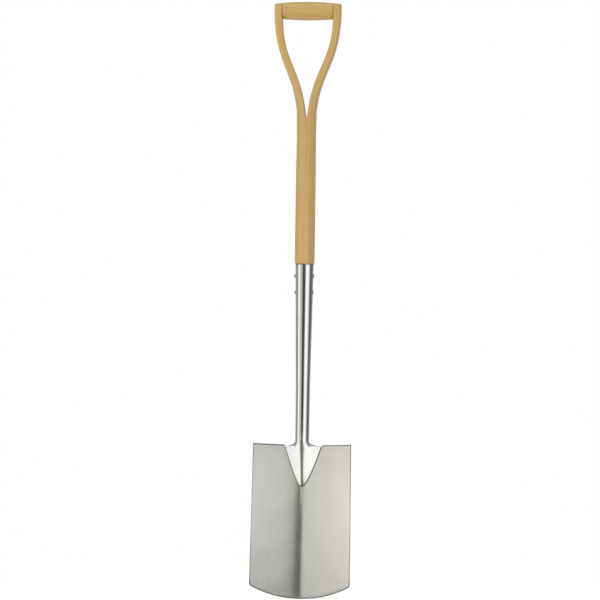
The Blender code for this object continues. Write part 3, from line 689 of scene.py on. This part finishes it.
def makeWeld(name, node, side):
    middle = insetPath(notchPath(notchTop), weldSizes["gap"] / 2)
    split = notchSizes["steps"] + 1
    half = middle[:split + 1] if side < 0 else middle[split:]
    if side > 0:
        half = half[::-1]

    # the run is walked from the tread down to the tip in even steps
    walked = [0.0]
    for a, b in zip(half, half[1:]):
        walked.append(walked[-1] + (b - a).length)
    count = int(walked[-1] / weldSizes["ripplePitch"]) * 8
    root = weldSizes["gap"] / 2 - fitGap
    behind = bladeSizes["thickness"] + 2 * fitGap
    recessHigh = weldSizes["recessLeft" if side < 0 else "recessRight"]
    rows = []
    for far in spread(0.0, walked[-1], count):
        i = next(k for k in range(1, len(walked)) if walked[k] >= far - 1e-9)
        t = (far - walked[i - 1]) / max(walked[i] - walked[i - 1], 1e-9)
        point = half[i - 1].lerp(half[i], t)
        ahead = (half[i] - half[i - 1]).normalized()
        across = Vector((-ahead.y, ahead.x))
        wander = noise.noise(Vector((far * weldSizes["wanderScale"], side * 3.0, 0.0)))
        cap = weldSizes["capWidth"] / 2 * (1 + weldSizes["widthWander"] * (wander - 1))
        recess = mix(weldSizes["recessLeft"], recessHigh, ease((point.y - notchTip) / weldSizes["tipFade"]))
        bottom = recess + weldSizes["rootChamfer"]
        outline = [(-root, behind), (-root, bottom), (-root * 0.5, recess),
                   (root * 0.5, recess), (root, bottom), (root, behind)]
        for a in spread(0.0, pi, 12):
            # each ripple bows back from its middle towards the sides of the bead
            phase = far + weldSizes["rippleWander"] * wander - weldSizes["rippleBow"] * cos(a)**2
            ripple = abs(cos(pi * phase / weldSizes["ripplePitch"]))
            crown = weldSizes["capHeight"] * (1 - weldSizes["rippleShare"] * ripple)
            outline.append((cap * cos(a), behind + crown * sin(a)))
        outline.append(outline[0])
        slope = (lean(point.y - 0.001) - lean(point.y + 0.001)) / 0.002
        backwards = Vector((0.0, 1.0, -slope)).normalized()
        row = []
        for offset, depth in outline:
            spot = point + across * offset
            x = side * max(side * spot.x, fitGap / 2)
            row.append(Vector((x, bladeFront(point.x, spot.y), spot.y)) + backwards * depth)
        rows.append(row)
    bm = bmesh.new()
    loft(bm, rows)
    closeUp(bm)
    return finishPiece(name, bm, weldSteel, node, sharpAngle=50)


# Shaft: a tenon in the socket, a round stem, and two arms split from its top

shaftSizes = {
    "overSocket": 0.0030, "chamfer": 0.0014, "waistNarrowing": 0.0012, "waistDrop": 0.0290,
    "crotchGap": 0.0024, "armRise": 0.2035, "armLow": 0.0156, "armHigh": 0.0142, "armAtEar": 0.0152,
    "armDepth": 0.0300, "armSpread": 0.0558, "startSlant": 0.06, "lowerPull": 0.475, "upperPull": 0.51,
    "halfStem": 0.05, "fullDepth": 0.5, "fullTaper": 0.85, "tenonGap": 0.0010, "tenonTaper": 0.0040,
    "earStart": 0.8, "earSlope": 0.12, "outerPower": 0.69, "innerPower": 0.30, "earInnerPower": 0.14,
    "earRounding": 0.0016, "halfAround": 56, "innerSteps": 16,
}
gripSizes = {
    "middle": 0.0350, "end": 0.0308, "rounding": 0.0016, "tenon": 0.0160, "tenonLength": 0.0100,
    "tenonChamfer": 0.0010, "clearance": 0.0003,
}
stemRadius = (socketSizes["mouth"] + shaftSizes["overSocket"]) / 2
crotchHeight = gripHeight - shaftSizes["armRise"]
earRadius = gripSizes["end"] / 2
earInnerFace = shaftSizes["armSpread"] - shaftSizes["armAtEar"] / 2


def armCentre(t):
    rise = shaftSizes["armRise"]
    start = Vector((stemRadius / 2 + shaftSizes["crotchGap"] / 4, crotchHeight))
    end = Vector((shaftSizes["armSpread"], gripHeight))
    lower = start + Vector((shaftSizes["startSlant"], 1.0)) * shaftSizes["lowerPull"] * rise
    upper = end - Vector((0.0, shaftSizes["upperPull"] * rise))
    s = 1 - t
    return s**3 * start + 3 * s * s * t * lower + 3 * s * t * t * upper + t**3 * end


def armSlant(t):
    ahead = armCentre(t + 0.01) - armCentre(t - 0.01)
    return ahead.length / ahead.y


def armSize(t):
    width = mix(shaftSizes["armLow"], shaftSizes["armHigh"], ease(t / shaftSizes["fullTaper"])) * armSlant(t)
    depth = mix(2 * stemRadius, shaftSizes["armDepth"], ease(t / shaftSizes["fullDepth"]))
    if t < shaftSizes["halfStem"]:
        width = mix(stemRadius - shaftSizes["crotchGap"] / 2, width, ease(t / shaftSizes["halfStem"]))
    if t > shaftSizes["earStart"]:
        nearEar = ease((t - shaftSizes["earStart"]) / (1 - shaftSizes["earStart"]))
        width = mix(width, shaftSizes["armAtEar"], nearEar)
        depth = mix(depth, 2 * earRadius, nearEar)
    return width, depth


def armBox(innerPower):
    # places round a rounded rectangle, in units of its half width and half depth, inner side last
    angles = spread(-pi * 0.75, pi * 0.75, shaftSizes["halfAround"])
    angles += spread(pi * 0.75, pi * 1.25, shaftSizes["innerSteps"])[1:-1]
    places = []
    for angle in angles:
        power = shaftSizes["outerPower"] if cos(angle) > 0 else innerPower
        across = abs(cos(angle)) ** power * (1 if cos(angle) > 0 else -1)
        deep = abs(sin(angle)) ** power * (1 if sin(angle) > 0 else -1)
        places.append(Vector((across, deep)))
    return places


def armDisc(inner, outer, depth):
    # the part of the stem's round section that lies beyond the slit
    end = acos((inner - outer) / stemRadius + 1)
    centre = outer - stemRadius
    points = [Vector((centre + stemRadius * cos(a), depth / 2 * sin(a)))
              for a in spread(-end, end, shaftSizes["halfAround"])]
    corner = points[-1].y
    return points + [Vector((inner, y)) for y in spread(corner, -corner, shaftSizes["innerSteps"])[1:-1]]


def armRows():
    # rows of (x, y, z) up one arm, and for each the place that the fibres had before the arm was bent
    low = [0.0004, 0.001, 0.0017, 0.0026, 0.0036, 0.0045, 0.006, 0.009, 0.013, 0.018, 0.024, 0.031, 0.04]
    rows = []
    grains = []
    gone = 0.0
    before = armCentre(0.0)
    startX = before.x
    for t in low + spread(0.05, 0.985, 84):
        centre = armCentre(t)
        gone += (centre - before).length
        before = centre
        width, depth = armSize(t)
        slant = armSlant(t)
        above = centre.y - crotchHeight
        slit = shaftSizes["crotchGap"]
        gap = sqrt(max(slit * above - above * above, 0.0)) if above < slit / 2 else 1.0
        outer = max(centre.x + width / 2, stemRadius)
        inner = min(centre.x - width / 2, gap)
        middle = (outer + inner) / 2
        half = (outer - inner) / 2
        innerPower = mix(shaftSizes["innerPower"], shaftSizes["earInnerPower"], ease(t * 4 - 3))
        row = []
        grain = []
        for disc, box in zip(armDisc(inner, outer, depth), armBox(innerPower)):
            place = disc.lerp(Vector((middle + box.x * half, box.y * depth / 2)), ease(t / 0.4))
            row.append((place.x, place.y, centre.y))
            grain.append(Vector((startX + (place.x - centre.x) / slant, place.y, crotchHeight + gone)))
        rows.append(row)
        grains.append(grain)
    gone += gripHeight - before.y
    halfWidthEar = shaftSizes["armAtEar"] / 2
    rounding = shaftSizes["earRounding"]
    for angle in [radians(a) for a in spread(0.0, 87.0, 22)]:
        row = []
        grain = []
        for u, v in armBox(shaftSizes["earInnerPower"]):
            x = shaftSizes["armSpread"] + u * halfWidthEar
            radius = earRadius - (x - earInnerFace) * shaftSizes["earSlope"]
            over = max(abs(u) * halfWidthEar - (halfWidthEar - rounding), 0.0)
            lower = rounding - sqrt(max(rounding**2 - over**2, 0.0))
            up = (radius - lower) * sin(angle)
            y = v * radius * cos(angle)
            row.append((x, y, gripHeight + up))
            grain.append(Vector((startX + x - shaftSizes["armSpread"], y, crotchHeight + gone + up)))
        rows.append(row)
        grains.append(grain)
    return rows, grains


def stemRadiusAt(z):
    waistHeight = crotchHeight - shaftSizes["waistDrop"]
    waist = ease(1 - abs(z - waistHeight) / shaftSizes["waistDrop"] / 3)
    if z > waistHeight:
        waist = ease(1 - (z - waistHeight) / shaftSizes["waistDrop"])
    return stemRadius - shaftSizes["waistNarrowing"] / 2 * waist


def makeShaft():
    shoulder = socketSizes["top"] + fitGap
    gap = socketSizes["wall"] + fitGap
    chamfer = shaftSizes["chamfer"]
    tenonEnd = socketSizes["neckHeight"] + shaftSizes["tenonGap"]
    tapered = tenonEnd + shaftSizes["tenonTaper"]
    rings = [(tenonEnd, socketRadius(tenonEnd) - gap - chamfer)]
    rings += [(z, socketRadius(z) - gap) for z in (tapered, socketSizes["top"])]
    rings += [(shoulder, socketRadius(socketSizes["top"]) - gap), (shoulder, stemRadius - chamfer)]
    for t in spread(0.0, 1.0, 8)[1:]:
        rings.append((shoulder + 4 * chamfer * t**1.4, stemRadius - chamfer * (1 - t) ** 2.2))
    drop = shaftSizes["waistDrop"]
    rings += [(z, stemRadius) for z in spread(shoulder + 0.008, crotchHeight - 4.2 * drop, 10)]
    rings += [(z, stemRadiusAt(z)) for z in spread(crotchHeight - 4 * drop, crotchHeight, 36)]

    around = 2 * shaftSizes["halfAround"]
    angles = [2 * pi * i / around - pi / 2 for i in range(around + 1)]
    stem = [[(r * cos(a), r * sin(a), z) for a in angles] for z, r in rings]
    bm = bmesh.new()
    layer = bm.verts.layers.float_vector.new("grainPlace")
    loft(bm, stem, layer, [[Vector(p) for p in row] for row in stem])

    # each arm starts from its half of the stem's last ring and a line that both arms share
    across = spread(stemRadius, -stemRadius, shaftSizes["innerSteps"])[1:-1]
    saddle = [(0.0, y, crotchHeight) for y in across]
    start = list(stem[-1][:shaftSizes["halfAround"] + 1]) + saddle
    rows, grains = armRows()
    rows = [start] + rows
    grains = [[Vector(p) for p in start]] + grains
    for side in (1, -1):
        arm = [[(side * x, y, z) for x, y, z in row + row[:1]] for row in rows]
        grain = [[Vector((side * g.x, g.y, g.z)) for g in row + row[:1]] for row in grains]
        loft(bm, arm, layer, grain)
    closeUp(bm, 2e-6)
    return finishPiece("splitShaft", bm, shaftAsh, "shaft", sharpAngle=42)


# Grip: a turned barrel between the ears, with a tenon at each end

def makeGrip():
    middle, end, tenon = (gripSizes[part] / 2 for part in ("middle", "end", "tenon"))
    rounding = gripSizes["rounding"]
    half = earInnerFace - gripSizes["clearance"]
    tip = half + gripSizes["tenonLength"] - gripSizes["clearance"]

    def barrel(x):
        return middle - (middle - end) * (x / half) ** 2

    chamfer = gripSizes["tenonChamfer"]
    profile = [(tip, 0.0), (tip, tenon - chamfer), (tip - chamfer, tenon), (half, tenon)]
    profile += [(half - rounding * (1 - cos(a)), barrel(half - rounding) - rounding * (1 - sin(a)))
                for a in spread(0.0, pi / 2, 6)]
    profile += [(x, barrel(x)) for x in spread(half - rounding, 0.0, 24)[1:]]
    profile += [(-x, radius) for x, radius in reversed(profile[:-1])]
    bm = bmesh.new()
    turnOnX(bm, profile, 96)
    bmesh.ops.translate(bm, verts=bm.verts, vec=(0.0, 0.0, gripHeight))
    return finishPiece("turnedGrip", bm, gripAsh, "grip")


# Rivets: a low head on the right, a fuller hammered tail on the left

rivetSizes = {
    "drop": 0.0235, "pitch": 0.0310, "shank": 0.0050, "head": 0.0086, "headHeight": 0.0018,
    "headPower": 0.8, "tail": 0.0068, "tailHeight": 0.0034, "tailPower": 0.7,
    "turnUpper": 12.0, "turnLower": 16.0, "dent": 0.00012, "dentScale": 700.0, "headDent": 0.3,
}


def makeRivet(name, node, z, turn):
    seat = socketRadius(z) + fitGap
    shank = rivetSizes["shank"] / 2

    def dome(end):
        # from the middle of the dome down to its rim
        angles = spread(pi / 2 - 1e-4, 0.0, 12)
        places = [(seat + rivetSizes[end + "Height"] * sin(a),
                   rivetSizes[end] / 2 * cos(a) ** rivetSizes[end + "Power"]) for a in angles]
        return [(places[0][0], 0.0)] + places[1:]

    profile = dome("head") + [(seat, shank), (-seat, shank)]
    profile += [(-x, radius) for x, radius in reversed(dome("tail"))]
    bm = bmesh.new()
    turnOnX(bm, profile, 40)
    for vert in bm.verts:
        if abs(vert.co.x) > seat + 0.0004:
            dent = noise.noise(Vector((vert.co.x, vert.co.y, vert.co.z + z)) * rivetSizes["dentScale"])
            vert.co.x += dent * rivetSizes["dent"] * (1 if vert.co.x < 0 else rivetSizes["headDent"])
        sag = seat - sqrt(seat * seat - vert.co.y**2)  # closed down onto the round tube
        vert.co.x -= sag if vert.co.x > 0 else -sag
    bmesh.ops.rotate(bm, verts=bm.verts, cent=(0, 0, 0), matrix=Matrix.Rotation(-radians(turn), 3, "Z"))
    bmesh.ops.translate(bm, verts=bm.verts, vec=(0.0, 0.0, z))
    return finishPiece(name, bm, rivetSteel, node)


makeBlade()
makeSocket()
makeWeld("weldLeft", "weld_left", -1)
makeWeld("weldRight", "weld_right", 1)
makeShaft()
makeGrip()
rivetTop = socketSizes["top"] - rivetSizes["drop"]
makeRivet("rivetUpper", "rivet_upper", rivetTop, rivetSizes["turnUpper"])
makeRivet("rivetLower", "rivet_lower", rivetTop - rivetSizes["pitch"], rivetSizes["turnLower"])


# Studio

studio = {
    "cameraYaw": 4.0, "cameraRoll": 0.80, "distance": 4.5, "target": (0.0, 0.0124, 0.5637),
    "pixelsPerMetre": 527.8, "picture": 600.0, "shift": (-4.4, -0.5),
    "floorRadius": 0.62, "floorDrop": 0.0003, "floorColour": (0.82, 0.82, 0.81), "floorGlow": 0.62,
    "lightAim": (0.0, 0.0, 0.65), "warmGreen": 0.03, "warmBlue": 0.085,
}


def makeCamera():
    data = bpy.data.cameras.new("camera")
    camera = bpy.data.objects.new("camera", data)
    scene.collection.objects.link(camera)
    yaw = radians(studio["cameraYaw"])
    back = Vector((sin(yaw), -cos(yaw), 0.0))
    roll = Matrix.Rotation(radians(studio["cameraRoll"]), 3, "Z")
    turn = (-back).to_track_quat("-Z", "Y").to_matrix() @ roll
    camera.location = Vector(studio["target"]) + back * studio["distance"]
    camera.rotation_euler = turn.to_euler()
    data.angle = 2 * atan2(studio["picture"] / studio["pixelsPerMetre"] / 2, studio["distance"])
    data.shift_x, data.shift_y = (pixels / studio["picture"] for pixels in studio["shift"])
    scene.camera = camera


# The room by direction, in degrees to the right of the camera, as (azimuth, brightness, warmth),
# where a warmth below zero is olive.
# The camera stands in a dark gap between two soft walls; the gap is narrower overhead.
roomLow = [
    (-180, 0.95, 0.0), (-166, 0.88, 0.0), (-148, 0.60, 0.0), (-105, 0.60, 0.0), (-82, 1.00, 0.4),
    (-58, 1.20, 0.5), (-46, 1.06, 0.5), (-27, 0.22, -3.0), (10, 0.22, -3.0), (30, 1.12, 0.0),
    (46, 1.22, 0.0), (60, 0.98, 0.0), (80, 0.85, 0.0), (102, 0.50, 0.0), (148, 0.60, 0.0),
    (166, 0.88, 0.0), (180, 0.95, 0.0),
]
roomLevel = [
    (-180, 0.95, 0.0), (-172, 0.78, 0.0), (-160, 0.42, 0.0), (-148, 0.38, 0.0), (-112, 0.33, 0.0),
    (-98, 0.36, 0.2), (-86, 0.42, 0.5), (-79, 1.50, 0.5), (-72, 1.45, 0.7), (-64, 0.84, 0.9),
    (-54, 0.76, 1.0), (-41, 0.68, 1.0), (-29, 0.46, 0.8), (-19, 0.10, -2.4), (-14, 0.07, -2.8),
    (4, 0.055, -2.8), (9, 0.16, -1.0), (17, 0.60, 0.0), (25, 1.20, 0.0), (41, 1.20, 0.1),
    (53, 0.98, 0.2), (63, 0.84, 0.3), (72, 0.42, 0.2), (80, 0.12, 0.0), (106, 0.11, 0.0),
    (130, 0.34, 0.0), (150, 0.40, 0.0), (160, 0.44, 0.0), (172, 0.78, 0.0), (180, 0.95, 0.0),
]
roomHigh = [
    (-180, 0.95, 0.0), (-166, 0.88, 0.0), (-148, 0.50, 0.0), (-110, 0.40, 0.0), (-90, 0.55, 0.3),
    (-75, 0.90, 0.8), (-60, 1.44, 1.6), (-28, 1.58, 1.6), (-25, 1.45, 1.1), (-22, 1.14, 0.6),
    (-18, 0.90, 0.4), (-12, 0.19, 0.3), (-7, 0.175, 0.0), (-1, 0.20, -1.8), (1.5, 0.62, -1.8),
    (4, 1.16, -0.5), (7, 1.22, -0.3), (12, 1.20, -0.2), (60, 1.12, 0.0), (76, 0.60, 0.0),
    (92, 0.32, 0.0), (112, 0.30, 0.0), (146, 0.48, 0.0), (166, 0.88, 0.0), (180, 0.95, 0.0),
]
roomCeiling = [
    (-180, 0.30, 0.0), (-60, 0.45, 0.3), (-40, 0.45, 0.5), (-31, 0.24, 0.8), (-26, 0.18, 0.8),
    (-20, 0.28, 0.5), (-14, 0.26, 0.3), (-8, 0.10, 0.0), (0, 0.10, 0.0), (5, 0.14, 0.0), (8, 0.03, 0.0),
    (14, 0.00, 0.0), (20, 0.25, 0.0), (32, 0.55, 0.0), (60, 0.55, 0.0), (100, 0.38, 0.0),
    (180, 0.30, 0.0),
]
# How far up a direction points where one ring gives way to the next, and where the backdrop begins,
# as the part of a turn away from the camera
roomBands = {
    "level": (-0.20, -0.05), "high": (0.021, 0.038), "ceiling": (0.03, 0.225), "backdrop": (0.476, 0.488),
}


def addRing(tree, sweep, levels):
    ramp = addNode(tree, "ValToRGB")
    feed(tree, ramp.inputs["Fac"], sweep)
    stops = ramp.color_ramp.elements
    while len(stops) > 1:
        stops.remove(stops[-1])
    for k, (azimuth, level, warmth) in enumerate(levels):
        stop = stops[0] if k == 0 else stops.new(0.5 + azimuth / 360)
        stop.position = 0.5 + azimuth / 360
        green = level * (1 - studio["warmGreen"] * max(warmth, 0.0))
        blue = level * (1 - studio["warmBlue"] * abs(warmth))
        stop.color = (level, green, blue, 1.0)
    return ramp.outputs["Color"]


def makeRoom():
    world = bpy.data.worlds.new("room")
    scene.world = world
    world.use_nodes = True
    tree = world.node_tree
    direction = addNode(tree, "TexCoord").outputs["Generated"]
    turned = fill(tree, addNode(tree, "Mapping"), Vector=direction,
                  Rotation=(0.0, 0.0, radians(90 - studio["cameraYaw"])))
    sweep = fill(tree, addNode(tree, "TexGradient", gradient_type="RADIAL"), Vector=turned[0])["Fac"]
    up = fill(tree, addNode(tree, "SeparateXYZ"), Vector=direction)["Z"]
    low, level, high, top = (addRing(tree, sweep, levels)
                             for levels in (roomLow, roomLevel, roomHigh, roomCeiling))
    room = blendColours(tree, remap(tree, up, *roomBands["level"], smooth=True), low, level)
    room = blendColours(tree, remap(tree, up, *roomBands["high"], smooth=True), room, high)
    ceiling = remap(tree, up, *roomBands["ceiling"])
    room = blendColours(tree, ceiling, room, top)

    # the camera sees a white backdrop all round, and steel shows it too, straight behind the spade
    seen = addNode(tree, "LightPath").outputs
    fromCamera = calculate(tree, "ABSOLUTE", calculate(tree, "SUBTRACT", sweep, 0.5))
    behind = remap(tree, fromCamera, *roomBands["backdrop"])
    mirrored = calculate(tree, "ADD", seen["Is Glossy Ray"], seen["Is Transmission Ray"], clamp=True)
    share = calculate(tree, "MULTIPLY", behind, calculate(tree, "SUBTRACT", 1.0, ceiling))
    share = calculate(tree, "MULTIPLY", mirrored, share)
    share = calculate(tree, "ADD", seen["Is Camera Ray"], share, clamp=True)
    colour = blendColours(tree, share, room, (1.0, 1.0, 1.0))
    fill(tree, tree.nodes["Background"], Color=colour, Strength=1.0)


def makeFloor():
    bm = bmesh.new()
    bmesh.ops.create_circle(bm, cap_ends=True, segments=96, radius=studio["floorRadius"])
    bmesh.ops.translate(bm, verts=bm.verts, vec=(0.0, 0.0, -studio["floorDrop"]))
    mesh = bpy.data.meshes.new("floor")
    bm.to_mesh(mesh)
    bm.free()
    floor = bpy.data.objects.new("floor", mesh)
    scene.collection.objects.link(floor)
    material, tree, shader, place = startMaterial("paleFloor")
    mesh.materials.append(material)
    speckle = addNoise(tree, place, 60.0)["Fac"]
    pale = studio["floorColour"]
    tint = blendColours(tree, speckle, tuple(c * 0.985 for c in pale), pale)
    seen = addNode(tree, "LightPath").outputs
    white = calculate(tree, "ADD", seen["Is Camera Ray"], seen["Is Glossy Ray"])
    white = calculate(tree, "ADD", white, seen["Is Transmission Ray"], clamp=True)
    glow = calculate(tree, "MULTIPLY", white, studio["floorGlow"])
    fill(tree, shader, Base_Color=tint, Roughness=0.8, Specular_IOR_Level=0.1,
         Emission_Color=(1.0, 1.0, 1.0, 1.0), Emission_Strength=glow)
    floor.visible_glossy = False  # steel shows the room's own low ring instead


softBoxes = [
    ("leftBox", (-1.9, -2.3, 1.0), (1.2, 1.8), 46.0, (1.0, 0.985, 0.96)),
    ("rightBox", (2.2, -1.9, 0.8), (1.0, 1.6), 20.0, (1.0, 0.99, 0.975)),
    ("topBox", (0.0, -0.5, 2.9), (1.6, 1.2), 15.0, (1.0, 1.0, 1.0)),
]


def makeLights():
    for name, place, size, power, colour in softBoxes:
        data = bpy.data.lights.new(name, "AREA")
        data.shape = "RECTANGLE"
        data.size, data.size_y = size
        data.energy = power
        data.color = colour
        light = bpy.data.objects.new(name, data)
        scene.collection.objects.link(light)
        light.location = place
        towards = Vector(studio["lightAim"]) - Vector(place)
        light.rotation_euler = towards.to_track_quat("-Z", "Y").to_euler()
        light.visible_glossy = False


makeCamera()
makeRoom()
makeFloor()
makeLights()
scene.view_settings.view_transform = "Standard"
print("studio made")
